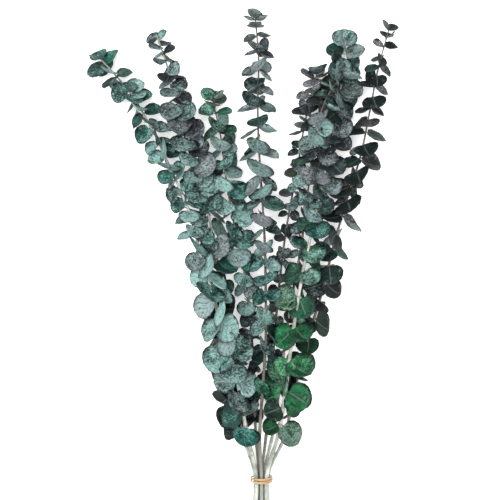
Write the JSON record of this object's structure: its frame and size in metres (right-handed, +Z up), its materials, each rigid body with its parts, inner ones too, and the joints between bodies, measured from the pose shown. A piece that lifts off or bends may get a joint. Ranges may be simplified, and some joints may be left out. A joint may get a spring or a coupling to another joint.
{
  "type": "bunch of dried eucalyptus",
  "caption": "Lying bunch of dried round-leaved eucalyptus: long woody stems with opposite pairs of leaves, fanned out from a rubber band near the cut ends.",
  "frame": {"origin": "on the surface that the bunch lies on, under the middle of its box", "axes": "+Y along the bunch from the cut ends to the tips, +Z up, away from the surface"},
  "size_m": [0.326, 0.6258, 0.0737],
  "materials": {
    "stem": "satin",
    "leaf": "matte",
    "band": "satin"
  },
  "bodies": {
    "root": {"leaf_centre_1": "leaf", "leaf_centre_2": "leaf", "leaf_centre_3": "leaf", "leaf_centre_4": "leaf", "leaf_centre_5": "leaf", "leaf_far_right_1": "leaf", "leaf_far_right_2": "leaf", "leaf_far_right_3": "leaf", "leaf_far_right_4": "leaf", "leaf_far_right_5": "leaf", "leaf_front_left_1": "leaf", "leaf_front_left_2": "leaf", "leaf_front_left_3": "leaf", "leaf_front_left_4": "leaf", "leaf_front_left_5": "leaf", "leaf_front_right_1": "leaf", "leaf_front_right_2": "leaf", "leaf_front_right_3": "leaf", "leaf_front_right_4": "leaf", "leaf_front_right_5": "leaf", "leaf_front_right_6": "leaf", "leaf_inner_right_1": "leaf", "leaf_inner_right_2": "leaf", "leaf_inner_right_3": "leaf", "leaf_inner_right_4": "leaf", "leaf_inner_right_5": "leaf", "leaf_left_1": "leaf", "leaf_left_2": "leaf", "leaf_left_3": "leaf", "leaf_left_4": "leaf", "leaf_mid_left_1": "leaf", "leaf_mid_left_2": "leaf", "leaf_mid_left_3": "leaf", "leaf_mid_left_4": "leaf", "leaf_mid_left_5": "leaf", "leaf_mid_left_6": "leaf", "leaf_mid_right_1": "leaf", "leaf_mid_right_2": "leaf", "leaf_mid_right_3": "leaf", "leaf_mid_right_4": "leaf", "leaf_mid_right_5": "leaf", "leaf_mid_right_6": "leaf", "rubber_band": "band", "stem_centre": "stem", "stem_far_right": "stem", "stem_front_left": "stem", "stem_front_right": "stem", "stem_inner_right": "stem", "stem_left": "stem", "stem_mid_left": "stem", "stem_mid_right": "stem"}
  },
  "joints": []
}
